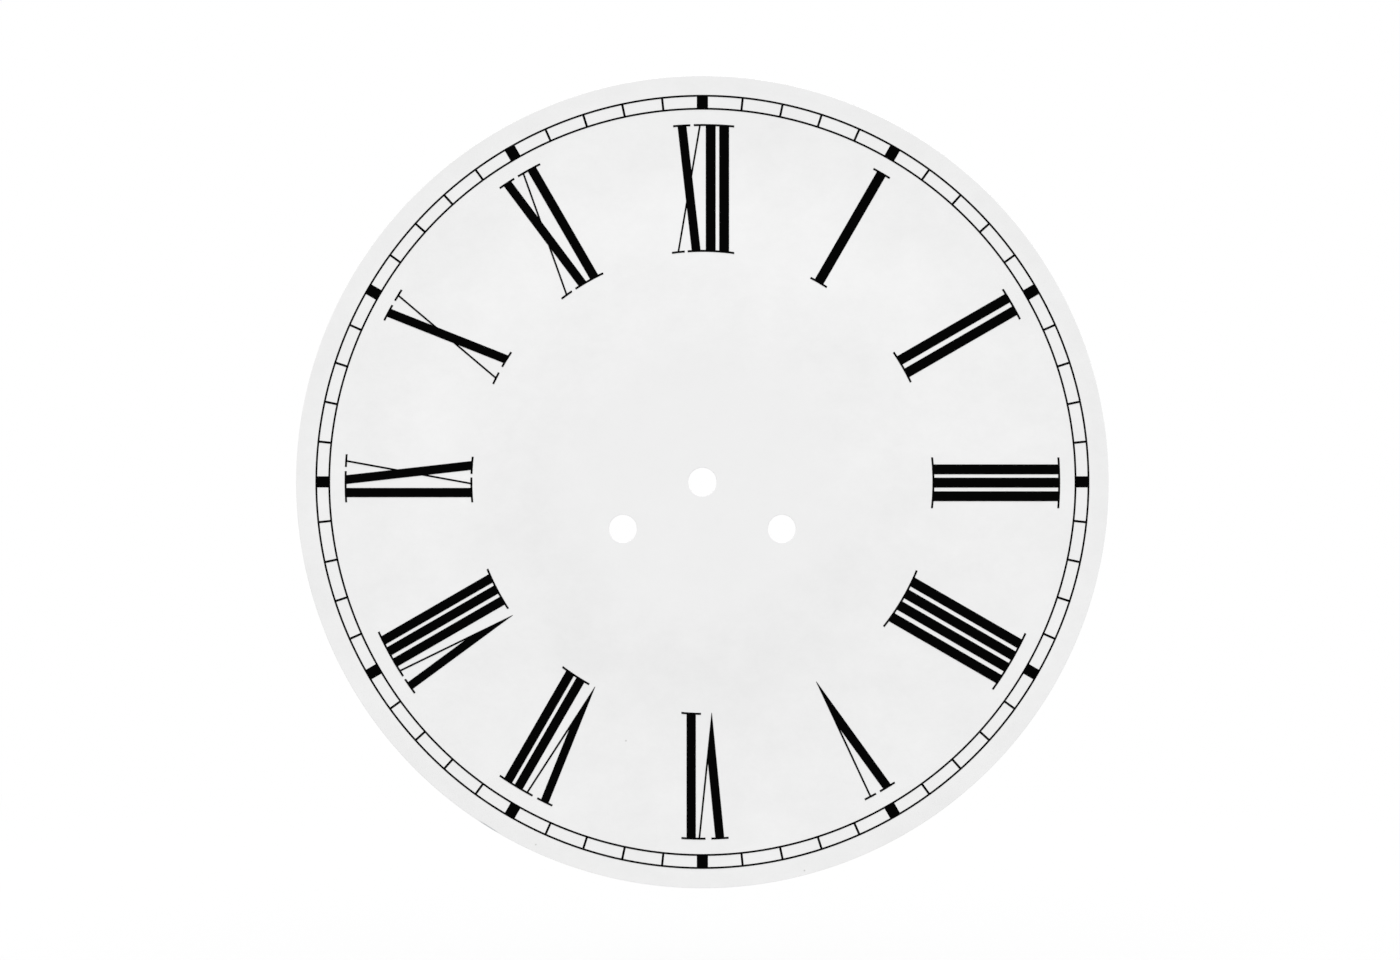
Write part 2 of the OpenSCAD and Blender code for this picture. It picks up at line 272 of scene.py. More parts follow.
def millFinishAluminium():
    material, tree = newMaterial("millFinishAluminium")
    place = addNode(tree, "ShaderNodeTexCoord").outputs["Object"]
    drawn = addNode(tree, "ShaderNodeMapping", {
        "Vector": place,
        "Scale": (
            perMetre(aluminium["lineLength"]), perMetre(aluminium["lineDrift"]),
            perMetre(aluminium["lineWidth"]),
        ),
    })
    lines = addNode(tree, "ShaderNodeTexNoise", {
        "Vector": drawn, "Scale": 1, "Detail": 3, "Roughness": 0.6,
    })
    stains = addNode(tree, "ShaderNodeTexNoise", {
        "Vector": place, "Scale": perMetre(aluminium["stainSize"]), "Detail": 5, "Roughness": 0.6,
    })
    patchy = addNode(tree, "ShaderNodeMapRange", {
        "Value": stains, "From Min": 0.4, "From Max": 0.8, "To Max": 0.7,
    }, interpolation_type="SMOOTHSTEP")
    streak = addNode(tree, "ShaderNodeMapRange", {
        "Value": lines, "From Min": 0.3, "From Max": 0.7, "To Min": -0.2, "To Max": 0.6,
    })
    shade = addNode(tree, "ShaderNodeMath", {0: patchy, 1: streak}, operation="ADD", use_clamp=True)
    metal = addNode(tree, "ShaderNodeMix", {
        0: shade, 6: linear(aluminium["colour"]), 7: linear(aluminium["stain"]),
    }, data_type="RGBA")
    # Scratches: the crests of a noise drawn out along each direction
    scratched = None
    for degrees in aluminium["scratchTurns"]:
        turned = addNode(tree, "ShaderNodeMapping", {
            "Vector": place, "Rotation": (0, math.radians(degrees), 0),
        }, vector_type="TEXTURE")
        pulled = addNode(tree, "ShaderNodeMapping", {
            "Vector": turned, "Location": (degrees, 0, 0),
            "Scale": (
                perMetre(aluminium["scratchLength"]), perMetre(aluminium["scratchDrift"]),
                perMetre(aluminium["scratchWidth"]),
            ),
        })
        crest = addNode(tree, "ShaderNodeTexNoise", {"Vector": pulled, "Scale": 1, "Detail": 0})
        mark = addNode(tree, "ShaderNodeMapRange", {
            "Value": crest,
            "From Min": aluminium["scratchCrests"][0], "From Max": aluminium["scratchCrests"][1],
        })
        if scratched:
            mark = addNode(tree, "ShaderNodeMath", {0: scratched, 1: mark}, operation="MAXIMUM")
        scratched = mark
    scored = addNode(tree, "ShaderNodeMix", {
        0: scratched, 6: metal.outputs[2], 7: linear(aluminium["scratchColour"]),
    }, data_type="RGBA")
    # Overspray reaches in from the rim, thinning out
    flat = addNode(tree, "ShaderNodeVectorMath", {0: place, 1: (1, 0, 1)}, operation="MULTIPLY")
    radius = addNode(tree, "ShaderNodeVectorMath", {0: flat}, operation="LENGTH").outputs["Value"]
    nearRim = addNode(tree, "ShaderNodeMapRange", {
        "Value": radius,
        "From Min": dial["radius"] - aluminium["oversprayWidth"],
        "From Max": dial["radius"],
    })
    grain = addNode(tree, "ShaderNodeTexNoise", {
        "Vector": place, "Scale": perMetre(aluminium["oversprayGrain"]), "Detail": 5, "Roughness": 0.75,
    })
    density = addNode(tree, "ShaderNodeMath", {
        0: nearRim, 1: aluminium["oversprayBuild"], 2: grain,
    }, operation="MULTIPLY_ADD")
    mist = addNode(tree, "ShaderNodeMapRange", {
        "Value": density,
        "From Min": aluminium["oversprayDensity"][0], "From Max": aluminium["oversprayDensity"][1],
    }, interpolation_type="SMOOTHSTEP")
    colour = addNode(tree, "ShaderNodeMix", {
        0: mist, 6: scored.outputs[2], 7: linear(aluminium["overspray"]),
    }, data_type="RGBA")
    metallic = addNode(tree, "ShaderNodeMath", {0: 1.0, 1: mist}, operation="SUBTRACT")
    rough = addNode(tree, "ShaderNodeMapRange", {
        "Value": lines, "From Min": 0.3, "From Max": 0.7,
        "To Min": aluminium["roughness"][0], "To Max": aluminium["roughness"][1],
    })
    bump = addNode(tree, "ShaderNodeBump", {
        "Strength": 1, "Distance": aluminium["lineDepth"], "Height": lines,
    })
    surface = addNode(tree, "ShaderNodeBsdfPrincipled", {
        "Base Color": colour.outputs[2], "Metallic": metallic, "Roughness": rough,
        "Normal": bump,
    })
    addNode(tree, "ShaderNodeOutputMaterial", {"Surface": surface})
    return material


# Sheared aluminium: where the tool cut through the sheet, dull grey with fine score lines across its edge
shearedEdge = {
    "colour": "#A2A4A7",
    "score": "#808285",
    "scoreWidth": 0.4 * mm,  # real score lines are about 0.1 mm wide, drawn coarser so that they show
    "scoreLength": 8 * mm,
    "scoreDepth": 0.006 * mm,
    "roughness": (0.5, 0.65),
}


def shearedAluminium():
    material, tree = newMaterial("shearedAluminium")
    place = addNode(tree, "ShaderNodeTexCoord").outputs["Object"]
    across = perMetre(shearedEdge["scoreWidth"])
    drawn = addNode(tree, "ShaderNodeMapping", {
        "Vector": place, "Scale": (across, perMetre(shearedEdge["scoreLength"]), across),
    })
    scores = addNode(tree, "ShaderNodeTexNoise", {
        "Vector": drawn, "Scale": 1, "Detail": 2, "Roughness": 0.6,
    })
    colour = addNode(tree, "ShaderNodeMix", {
        0: scores, 6: linear(shearedEdge["colour"]), 7: linear(shearedEdge["score"]),
    }, data_type="RGBA")
    bump = addNode(tree, "ShaderNodeBump", {
        "Strength": 1, "Distance": shearedEdge["scoreDepth"], "Height": scores,
    })
    rough = addNode(tree, "ShaderNodeMapRange", {
        "Value": scores, "To Min": shearedEdge["roughness"][0], "To Max": shearedEdge["roughness"][1],
    })
    surface = addNode(tree, "ShaderNodeBsdfPrincipled", {
        "Base Color": colour.outputs[2], "Metallic": 1, "Roughness": rough, "Normal": bump,
    })
    addNode(tree, "ShaderNodeOutputMaterial", {"Surface": surface})
    return material


# Black ink, screen printed and stoved: flat and dense, a little uneven where the mesh lifted off
ink = {
    "colour": "#020202",
    "thin": "#050505",
    "patchSize": 6 * mm,
    "meshSize": 0.3 * mm,  # the screen's threads are about 0.1 mm apart, drawn coarser so that they show
    "meshDepth": 0.002 * mm,
    "roughness": (0.42, 0.6),
    "mirror": 0.008,  # the matt film hardly mirrors
}


def screenPrintedInk():
    material, tree = newMaterial("screenPrintedBlackInk")
    place = addNode(tree, "ShaderNodeTexCoord").outputs["Object"]
    patches = addNode(tree, "ShaderNodeTexNoise", {
        "Vector": place, "Scale": perMetre(ink["patchSize"]), "Detail": 3, "Roughness": 0.6,
    })
    colour = addNode(tree, "ShaderNodeMix", {
        0: patches, 6: linear(ink["colour"]), 7: linear(ink["thin"]),
    }, data_type="RGBA")
    weave = addNode(tree, "ShaderNodeTexNoise", {
        "Vector": place, "Scale": perMetre(ink["meshSize"]), "Detail": 1,
    })
    bump = addNode(tree, "ShaderNodeBump", {
        "Strength": 1, "Distance": ink["meshDepth"], "Height": weave,
    })
    rough = addNode(tree, "ShaderNodeMapRange", {
        "Value": patches, "To Min": ink["roughness"][0], "To Max": ink["roughness"][1],
    })
    surface = addNode(tree, "ShaderNodeBsdfPrincipled", {
        "Base Color": colour.outputs[2], "Roughness": rough, "IOR": 1.5,
        "Specular IOR Level": ink["mirror"], "Normal": bump,
    })
    addNode(tree, "ShaderNodeOutputMaterial", {"Surface": surface})
    return material


# Brass rod, turned: warm yellow with fine rings from the tool, duller where fingers and air reach it.
# Its UV map runs once round the axis in U, and along the section in V, in metres.
brass = {
    "colour": "#DABF7C",
    "tarnish": "#A98E58",
    "tarnishSize": 5 * mm,
    "toolPitch": 0.22 * mm,  # the feed of the tool is about 0.08 mm a turn, drawn coarser so that it shows
    "toolDepth": 0.012 * mm,
    "toolWander": 0.6,  # how much a ring changes in one turn
    "toolMarks": 0.35,  # how much the rings darken the metal
    "roughness": (0.18, 0.42),
}


def turnedBrass():
    material, tree = newMaterial("turnedBrass")
    place = addNode(tree, "ShaderNodeTexCoord").outputs["Object"]
    around = addNode(tree, "ShaderNodeUVMap", uv_map="turned")
    stretched = addNode(tree, "ShaderNodeMapping", {
        "Vector": around, "Scale": (brass["toolWander"], perMetre(brass["toolPitch"]), 1),
    })
    rings = addNode(tree, "ShaderNodeTexNoise", {
        "Vector": stretched, "Scale": 1, "Detail": 2, "Roughness": 0.6,
    })
    dull = addNode(tree, "ShaderNodeTexNoise", {
        "Vector": place, "Scale": perMetre(brass["tarnishSize"]), "Detail": 4, "Roughness": 0.6,
    })
    patchy = addNode(tree, "ShaderNodeMapRange", {
        "Value": dull, "From Min": 0.42, "From Max": 0.72,
    }, interpolation_type="SMOOTHSTEP")
    streak = addNode(tree, "ShaderNodeMath", {
        0: rings, 1: brass["toolMarks"], 2: patchy,
    }, operation="MULTIPLY_ADD")
    colour = addNode(tree, "ShaderNodeMix", {
        0: streak, 6: linear(brass["colour"]), 7: linear(brass["tarnish"]),
    }, data_type="RGBA", clamp_factor=True)
    rough = addNode(tree, "ShaderNodeMapRange", {
        "Value": streak, "To Min": brass["roughness"][0], "To Max": brass["roughness"][1],
    })
    bump = addNode(tree, "ShaderNodeBump", {
        "Strength": 1, "Distance": brass["toolDepth"], "Height": rings,
    })
    surface = addNode(tree, "ShaderNodeBsdfPrincipled", {
        "Base Color": colour.outputs[2], "Metallic": 1, "Roughness": rough, "Normal": bump,
    })
    addNode(tree, "ShaderNodeOutputMaterial", {"Surface": surface})
    return material


enamelFinish = stovedWhiteEnamel()
aluminiumFinish = millFinishAluminium()
shearedFinish = shearedAluminium()
inkFinish = screenPrintedInk()
brassFinish = turnedBrass()
print("materials made")


# Mesh code shared by the turned and punched pieces
def addLoop(bm, centre, radius, y, count):
    x, z = centre
    turns = [fullTurn * i / count for i in range(count)]
    return [bm.verts.new((x + radius * math.sin(a), y, z + radius * math.cos(a))) for a in turns]


def joinLoops(bm, first, second):
    return [bm.faces.new((first[i - 1], first[i], second[i], second[i - 1])) for i in range(len(first))]


def fillFlat(bm, loops):
    # Triangles between one outer loop and any loops inside it, all in one plane
    pairs = [(loop[i - 1], loop[i]) for loop in loops for i in range(len(loop))]
    edges = [bm.edges.get(pair) or bm.edges.new(pair) for pair in pairs]
    bmesh.ops.triangle_fill(bm, edges=edges, use_beauty=True)


def roundedCorner(inset, y, radius, steps):
    # Points round a corner, from the face over to the wall. Insets are measured in from the wall.
    angles = [math.radians(90 * i / steps) for i in range(steps + 1)]
    return [(inset - radius * math.sin(a), y - radius * math.cos(a)) for a in angles]


def newObject(name, mesh):
    piece = bpy.data.objects.new(name, mesh)
    bpy.context.scene.collection.objects.link(piece)
    return piece


def smooth(mesh, sharpAngle=None):
    for polygon in mesh.polygons:
        polygon.use_smooth = True
    if sharpAngle:
        mesh.set_sharp_from_angle(angle=math.radians(sharpAngle))


# Pressing: the blank's flat centre stays put and a smooth slope lets the rim drop behind it
def pressingTree():
    tree = bpy.data.node_groups.new("pressedCrown", "GeometryNodeTree")
    tree.interface.new_socket("Blank", in_out="INPUT", socket_type="NodeSocketGeometry")
    for name in ("Flat Centre", "Flat Rim", "Crown Height"):
        tree.interface.new_socket(name, in_out="INPUT", socket_type="NodeSocketFloat")
    tree.interface.new_socket("Finish", in_out="INPUT", socket_type="NodeSocketMaterial")
    tree.interface.new_socket("Sheet", in_out="OUTPUT", socket_type="NodeSocketGeometry")
    given = addNode(tree, "NodeGroupInput").outputs
    place = addNode(tree, "GeometryNodeInputPosition")
    level = addNode(tree, "ShaderNodeVectorMath", {0: place, 1: (1, 0, 1)}, operation="MULTIPLY")
    radius = addNode(tree, "ShaderNodeVectorMath", {0: level}, operation="LENGTH").outputs["Value"]
    along = addNode(tree, "ShaderNodeMapRange", {
        "Value": radius, "From Min": given["Flat Centre"], "From Max": given["Flat Rim"],
        "To Min": 0, "To Max": math.pi,
    })
    wave = addNode(tree, "ShaderNodeMath", {0: along}, operation="COSINE")
    share = addNode(tree, "ShaderNodeMath", {0: wave, 1: -0.5, 2: 0.5}, operation="MULTIPLY_ADD")
    drop = addNode(tree, "ShaderNodeMath", {0: share, 1: given["Crown Height"]}, operation="MULTIPLY")
    offset = addNode(tree, "ShaderNodeCombineXYZ", {"Y": drop})
    pressed = addNode(tree, "GeometryNodeSetPosition", {"Geometry": given["Blank"], "Offset": offset})
    single = addNode(tree, "GeometryNodeRealizeInstances", {"Geometry": pressed})
    finished = addNode(tree, "GeometryNodeSetMaterial", {"Geometry": single, "Material": given["Finish"]})
    addNode(tree, "NodeGroupOutput", {"Sheet": finished})
    return tree


def runNodes(piece, tree, inputs):
    # Sets the tree's inputs by identifier, evaluates it once and leaves a plain mesh
    modifier = piece.modifiers.new(tree.name, "NODES")
    modifier.node_group = tree
    named = {item.name: item.identifier for item in tree.interface.items_tree if item.in_out == "INPUT"}
    for name, value in inputs.items():
        modifier[named[name]] = value
    depsgraph = bpy.context.evaluated_depsgraph_get()
    mesh = bpy.data.meshes.new_from_object(piece.evaluated_get(depsgraph), depsgraph=depsgraph)
    piece.modifiers.clear()
    piece.data = mesh
    mesh.name = piece.name
    return piece


crownTree = pressingTree()


def pressedSheet(name, front, back, rimProfile, holes, rivets, finish):
    # A flat blank with punched holes, then pressed. Each profile is a list of (inset, y), front to back.
    bm = bmesh.new()
    rim = [addLoop(bm, (0, 0), dial["radius"] - inset, y, dial["segments"]) for inset, y in rimProfile]
    holeLoops = []
    for hole in holes:
        holeLoops.append([
            addLoop(bm, hole["centre"], hole["radius"] + inset, y, hole["segments"])
            for inset, y in hole["profile"]
        ])
    rivetLoops = [
        [addLoop(bm, rivet["centre"], rivet["radius"], y, rivet["segments"]) for y in (front, back)]
        for rivet in rivets
    ]
    for loops in [rim] + holeLoops + rivetLoops:
        for first, second in zip(loops, loops[1:]):
            joinLoops(bm, first, second)
    width = dial["flatRim"] - dial["flatCentre"]
    steps = dial["slopeRings"]
    radii = [dial["flatCentre"] + width * i / steps for i in range(steps + 1)]
    radii = [radii[0] - dial["flatRing"]] + radii + [radii[-1] + dial["flatRing"]]
    for y, end in ((front, 0), (back, -1)):
        rings = [addLoop(bm, (0, 0), radius, y, dial["segments"]) for radius in radii]
        for first, second in zip(rings, rings[1:]):
            joinLoops(bm, first, second)
        fillFlat(bm, [rings[0]] + [loops[end] for loops in holeLoops])
        if rivetLoops:
            fillFlat(bm, [rings[-1], rim[end]] + [loops[end] for loops in rivetLoops])
        else:
            joinLoops(bm, rings[-1], rim[end])
    bmesh.ops.recalc_face_normals(bm, faces=bm.faces)
    mesh = bpy.data.meshes.new(name)
    bm.to_mesh(mesh)
    bm.free()
    piece = runNodes(newObject(name, mesh), crownTree, {
        "Flat Centre": dial["flatCentre"], "Flat Rim": dial["flatRim"],
        "Crown Height": dial["crown"], "Finish": finish,
    })
    smooth(piece.data, dial["sharpAngle"])
    return piece


# Sheet: sheared and punched from the front, so its front corners roll over and its back ones are deburred
edges = {
    "rimRound": dial["radius"] - coatHigh.x,
    "holeRound": min(radiiAt("white_ground", sheetFront)) - mounts["hand_hole"]["dims"]["r_mm"] * mm,
    "deburr": 0.07 * mm,
    "support": 0.05 * mm,  # a flat ring this wide beside each corner keeps its shading off the face
    "cornerSteps": 6,
    "holeSegments": 96,
    "rivetSegments": 32,
}
holeMounts = ["hand_hole", "winding_hole_left", "winding_hole_right"]
holePlaces = [
    {
        "centre": (mounts[name]["pos_m"][0], mounts[name]["pos_m"][2]),
        "radius": mounts[name]["dims"]["r_mm"] * mm,
        "segments": edges["holeSegments"],
    }
    for name in holeMounts
]
feet = mounts["dial_feet"]
footCircle = feet["dims"]["pcd_mm"] / 2 * mm
footPlaces = [  # each foot's CAD node, and how far round from twelve it stands
    {"name": "footUpperRight", "node": "upper_right_foot", "turn": fullTurn / 8},
    {"name": "footLowerRight", "node": "lower_right_foot", "turn": fullTurn * 3 / 8},
    {"name": "footLowerLeft", "node": "lower_left_foot", "turn": fullTurn * 5 / 8},
    {"name": "footUpperLeft", "node": "upper_left_foot", "turn": fullTurn * 7 / 8},
]
for place in footPlaces:
    place["centre"] = (footCircle * math.sin(place["turn"]), footCircle * math.cos(place["turn"]))
firstFoot = footPlaces[0]
footLow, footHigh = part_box(firstFoot["node"])
rivetRadius = max(radiiAt(firstFoot["node"], footLow.y, firstFoot["centre"]))
rivetPlaces = [
    {"centre": place["centre"], "radius": rivetRadius, "segments": edges["rivetSegments"]}
    for place in footPlaces
]


def sheetEdge(corner):
    # Section of the sheet's edge, from the front face over the rolled corner to the deburred back
    burr = edges["deburr"]
    return (
        [(corner + edges["support"], sheetFront)]
        + roundedCorner(corner, sheetFront + corner, corner, edges["cornerSteps"])
        + [(0, -burr), (burr, 0), (burr + edges["support"], 0)]
    )


dialPlate = pressedSheet(
    "dialPlate", sheetFront, 0, sheetEdge(edges["rimRound"]),
    [dict(hole, profile=sheetEdge(edges["holeRound"])) for hole in holePlaces],
    rivetPlaces, aluminiumFinish,
)
dialPlate.data.materials.append(shearedFinish)
for polygon in dialPlate.data.polygons:
    if abs(polygon.normal.y) < 0.5:
        polygon.material_index = 1
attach(dialPlate, "root")
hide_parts("dial_plate")
print("dial plate pressed:", len(dialPlate.data.polygons), "faces")


# White coat: lies on the sheet, wraps over its rolled corners and thins out to nothing on the walls
def coatEdge(corner):
    coat, steps = dial["coat"], edges["cornerSteps"]
    outer = []
    for i in range(steps + 1):
        a = math.radians(90 * i / steps)
        reach = corner + coat * math.cos(a) ** 2
        outer.append((corner - reach * math.sin(a), sheetFront + corner - reach * math.cos(a)))
    under = roundedCorner(corner, sheetFront + corner, corner, steps)[::-1]
    return (
        [(corner + edges["support"], coatFront)] + outer + under[1:]
        + [(corner + edges["support"], sheetFront)]
    )


whiteGround = pressedSheet(
    "whiteGround", coatFront, sheetFront, coatEdge(edges["rimRound"]),
    [dict(hole, profile=coatEdge(edges["holeRound"])) for hole in holePlaces], [], enamelFinish,
)
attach(whiteGround, "root")
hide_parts("white_ground")
print("white ground sprayed:", len(whiteGround.data.polygons), "faces")


# Minute track: two thin circles of ink with bars between them
def barWidth(node, turn):
    # Width of the bar that stands this far round from twelve
    ahead = (math.sin(turn), math.cos(turn))
    points = [vertex.co for vertex in frame["nodes"][node].data.vertices]
    thisSide = [p for p in points if p.x * ahead[0] + p.z * ahead[1] > 0]
    across = [abs(p.x * ahead[1] - p.z * ahead[0]) for p in thisSide]
    reach = 4 * mm  # takes in this bar alone
    return 2 * max(a for a in across if a < reach)


track = {
    "outerEdge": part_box("outer_track_line")[1].x,
    "barEnd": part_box("five_minute_marks")[1].z,
    "barStart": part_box("inner_track_line")[1].x,
    "ink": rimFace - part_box("minute_marks")[0].y,
    "shoulder": 0.05 * mm,  # the film thins out over this width
    "minuteBar": barWidth("minute_marks", fullTurn / 60),
    "fiveMinuteBar": barWidth("five_minute_marks", 0),
    "minutes": 60,
    "hours": 12,
}
lineWidth = track["outerEdge"] - track["barEnd"]


def circleTree():
    tree = bpy.data.node_groups.new("printedCircle", "GeometryNodeTree")
    for name in ("Radius", "Line Width", "Ink", "Shoulder", "Face"):
        tree.interface.new_socket(name, in_out="INPUT", socket_type="NodeSocketFloat")
    tree.interface.new_socket("Segments", in_out="INPUT", socket_type="NodeSocketInt")
    tree.interface.new_socket("Finish", in_out="INPUT", socket_type="NodeSocketMaterial")
    tree.interface.new_socket("Print", in_out="OUTPUT", socket_type="NodeSocketGeometry")
    given = addNode(tree, "NodeGroupInput").outputs
    path = addNode(tree, "GeometryNodeCurvePrimitiveCircle", {
        "Resolution": given["Segments"], "Radius": given["Radius"],
    }, mode="RADIUS")
    level = addNode(tree, "GeometryNodeSetCurveNormal", {"Curve": path}, mode="Z_UP")
    top = addNode(tree, "ShaderNodeMath", {
        0: given["Shoulder"], 1: -2, 2: given["Line Width"],
    }, operation="MULTIPLY_ADD")
    section = addNode(tree, "GeometryNodeCurvePrimitiveQuadrilateral", {
        "Height": given["Ink"], "Bottom Width": given["Line Width"], "Top Width": top, "Offset": 0,
    }, mode="TRAPEZOID")
    ring = addNode(tree, "GeometryNodeCurveToMesh", {
        "Curve": level, "Profile Curve": section,
    })
    middle = addNode(tree, "ShaderNodeMath", {
        0: given["Ink"], 1: -0.5, 2: given["Face"],
    }, operation="MULTIPLY_ADD")
    forward = addNode(tree, "ShaderNodeCombineXYZ", {"Y": middle})
    stood = addNode(tree, "GeometryNodeTransform", {
        "Geometry": ring, "Translation": forward, "Rotation": (-math.pi / 2, 0, 0),
    })
    single = addNode(tree, "GeometryNodeRealizeInstances", {"Geometry": stood})
    finished = addNode(tree, "GeometryNodeSetMaterial", {"Geometry": single, "Material": given["Finish"]})
    addNode(tree, "NodeGroupOutput", {"Print": finished})
    return tree


def barsTree():
    # A bar stands at twelve and is copied round the dial, less every Skip-th place. Skip 0 keeps all.
    tree = bpy.data.node_groups.new("printedBars", "GeometryNodeTree")
    for name in ("Start", "End", "Width", "Ink", "Shoulder", "Face"):
        tree.interface.new_socket(name, in_out="INPUT", socket_type="NodeSocketFloat")
    for name in ("Count", "Skip"):
        tree.interface.new_socket(name, in_out="INPUT", socket_type="NodeSocketInt")
    tree.interface.new_socket("Finish", in_out="INPUT", socket_type="NodeSocketMaterial")
    tree.interface.new_socket("Print", in_out="OUTPUT", socket_type="NodeSocketGeometry")
    given = addNode(tree, "NodeGroupInput").outputs
    length = addNode(tree, "ShaderNodeMath", {0: given["End"], 1: given["Start"]}, operation="SUBTRACT")
    both = addNode(tree, "ShaderNodeMath", {0: given["End"], 1: given["Start"]}, operation="ADD")
    middle = addNode(tree, "ShaderNodeMath", {0: both, 1: 0.5}, operation="MULTIPLY")
    size = addNode(tree, "ShaderNodeCombineXYZ", {"X": given["Width"], "Y": given["Ink"], "Z": length})
    block = addNode(tree, "GeometryNodeMeshCube", {
        "Size": size, "Vertices X": 5, "Vertices Y": 2, "Vertices Z": 2,
    })
    place = addNode(tree, "GeometryNodeInputPosition")
    axes = addNode(tree, "ShaderNodeSeparateXYZ", {0: place}).outputs
    # The front of the film is narrower by a shoulder at each side, and laps over the circles' own shoulders
    isFront = addNode(tree, "ShaderNodeMath", {0: axes["Y"], 1: 0}, operation="LESS_THAN")
    pull = addNode(tree, "ShaderNodeMath", {0: isFront, 1: given["Shoulder"]}, operation="MULTIPLY")
    twice = addNode(tree, "ShaderNodeMath", {0: pull, 1: 2}, operation="MULTIPLY")
    shareX = addNode(tree, "ShaderNodeMath", {0: twice, 1: given["Width"]}, operation="DIVIDE")
    shareZ = addNode(tree, "ShaderNodeMath", {0: twice, 1: length}, operation="DIVIDE")
    lessX = addNode(tree, "ShaderNodeMath", {0: axes["X"], 1: shareX}, operation="MULTIPLY")
    moreZ = addNode(tree, "ShaderNodeMath", {0: axes["Z"], 1: shareZ}, operation="MULTIPLY")
    across = addNode(tree, "ShaderNodeMath", {0: axes["X"], 1: lessX}, operation="SUBTRACT")
    inFrom = addNode(tree, "ShaderNodeMath", {0: axes["Z"], 1: moreZ}, operation="ADD")
    # Its ends follow the circles: the height over the axis is sqrt(radius^2 - across^2)
    radius = addNode(tree, "ShaderNodeMath", {0: inFrom, 1: middle}, operation="ADD")
    squared = addNode(tree, "ShaderNodeMath", {0: radius, 1: 2}, operation="POWER")
    acrossSquared = addNode(tree, "ShaderNodeMath", {0: across, 1: across}, operation="MULTIPLY")
    rest = addNode(tree, "ShaderNodeMath", {0: squared, 1: acrossSquared}, operation="SUBTRACT")
    up = addNode(tree, "ShaderNodeMath", {0: rest}, operation="SQRT")
    film = addNode(tree, "ShaderNodeMath", {
        0: given["Ink"], 1: -0.5, 2: given["Face"],
    }, operation="MULTIPLY_ADD")
    forward = addNode(tree, "ShaderNodeMath", {0: axes["Y"], 1: film}, operation="ADD")
    moved = addNode(tree, "ShaderNodeCombineXYZ", {"X": across, "Y": forward, "Z": up})
    bar = addNode(tree, "GeometryNodeSetPosition", {"Geometry": block, "Position": moved})
    # Places round the dial, clockwise from twelve
    points = addNode(tree, "GeometryNodePoints", {"Count": given["Count"], "Position": (0, 0, 0)})
    index = addNode(tree, "GeometryNodeInputIndex")
    left = addNode(tree, "ShaderNodeMath", {0: index, 1: given["Skip"]}, operation="MODULO")
    keepsAll = addNode(tree, "ShaderNodeMath", {0: given["Skip"], 1: 0.5}, operation="LESS_THAN")
    isKept = addNode(tree, "ShaderNodeMath", {0: left, 1: keepsAll}, operation="ADD", use_clamp=True)
    stepTurn = addNode(tree, "ShaderNodeMath", {0: fullTurn, 1: given["Count"]}, operation="DIVIDE")
    turn = addNode(tree, "ShaderNodeMath", {0: index, 1: stepTurn}, operation="MULTIPLY")
    turnVector = addNode(tree, "ShaderNodeCombineXYZ", {"Y": turn})
    copies = addNode(tree, "GeometryNodeInstanceOnPoints", {
        "Points": points, "Selection": isKept, "Instance": bar, "Rotation": turnVector,
    })
    single = addNode(tree, "GeometryNodeRealizeInstances", {"Geometry": copies})
    finished = addNode(tree, "GeometryNodeSetMaterial", {"Geometry": single, "Material": given["Finish"]})
    addNode(tree, "NodeGroupOutput", {"Print": finished})
    return tree


def printPiece(name, tree, node, inputs):
    piece = runNodes(newObject(name, bpy.data.meshes.new(name)), tree, dict(inputs, **{
        "Ink": track["ink"], "Shoulder": track["shoulder"], "Face": rimFace, "Finish": inkFinish,
    }))
    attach(piece, "root")
    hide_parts(node)
    print(name, "printed:", len(piece.data.polygons), "faces")
    return piece


circles = circleTree()
bars = barsTree()
circleInputs = {"Line Width": lineWidth, "Segments": dial["segments"]}
printPiece("outerTrackLine", circles, "outer_track_line", dict(
    circleInputs, Radius=track["barEnd"] + lineWidth / 2))
printPiece("innerTrackLine", circles, "inner_track_line", dict(
    circleInputs, Radius=track["barStart"] - lineWidth / 2))
barInputs = {"Start": track["barStart"], "End": track["barEnd"]}
printPiece("minuteMarks", bars, "minute_marks", dict(
    barInputs, Width=track["minuteBar"], Count=track["minutes"], Skip=track["minutes"] // track["hours"]))
printPiece("fiveMinuteMarks", bars, "five_minute_marks", dict(
    barInputs, Width=track["fiveMinuteBar"], Count=track["hours"], Skip=0))

# The twelve numerals keep their CAD shape and take the ink
for name, node in frame["nodes"].items():
    if name.startswith("numeral_"):
        node.data.materials.clear()
        node.data.materials.append(inkFinish)
print("numerals inked")


# Dial feet: turned posts, riveted through the sheet and cross-drilled for a taper pin
foot = {
    "seat": dial["crown"],  # the collar sits on the back of the rim
    "collarEnd": feet["pos_m"][1],
    "tip": footHigh.y,
    "rivetEnd": footLow.y,
    "shank": feet["dims"]["stud_r_mm"] * mm,
    "collar": max(radiiAt(firstFoot["node"], dial["crown"], firstFoot["centre"])),
    "fillet": 0.35 * mm,
    "filletSteps": 5,
    "chamfer": 0.5 * mm,
    "edgeBreak": 0.15 * mm,
    "centreMark": 0.45 * mm,  # left by the lathe's centre drill
    "centreMarkDepth": 0.27 * mm,
    "pinHole": 0.7 * mm,
    "pinHoleFromTip": 3.5 * mm,
    "countersink": 0.22 * mm,
    "countersinkDepth": 0.352 * mm,
    "segments": 64,
    "drillSegments": 32,
    "sharpAngle": 30,  # degrees
    "weld": 0.002 * mm,  # slivers that the cut leaves are closed up to this size
}


